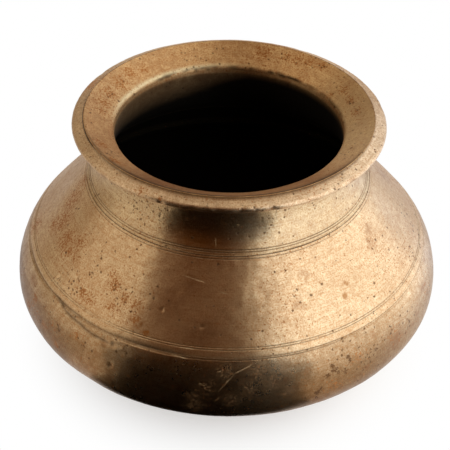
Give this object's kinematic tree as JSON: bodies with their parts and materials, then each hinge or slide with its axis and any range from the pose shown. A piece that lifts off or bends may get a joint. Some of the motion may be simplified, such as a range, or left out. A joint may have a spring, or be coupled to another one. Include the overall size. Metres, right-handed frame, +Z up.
{
  "type": "water pot",
  "caption": "Squat round brass water pot with a conical shoulder, a waisted neck and a wide flared mouth with a heavy bevelled rim.",
  "frame": {"origin": "centre of the flat under the bowl, on the surface that the pot stands on", "axes": "+Z up the pot's turning axis, from the foot to the mouth; X and Y lie level and are alike, because the pot is round"},
  "size_m": [0.24, 0.24, 0.15],
  "materials": {
    "bowl_brass": "raised and turned brass, satin, browned by age",
    "shoulder_brass": "raised and turned brass, satin, with rust-brown specks",
    "neck_brass": "cast and turned brass, satin, tan tarnish",
    "lip_brass": "cast brass, worn smooth at its edges",
    "spelter": "brazing spelter as it ran, rough"
  },
  "bodies": {
    "root": {"bowl": "bowl_brass", "shoulder": "shoulder_brass", "neck": "neck_brass", "lip_ring": "lip_brass", "belly_braze": "spelter", "neck_braze": "spelter", "lip_braze": "spelter"}
  },
  "joints": []
}
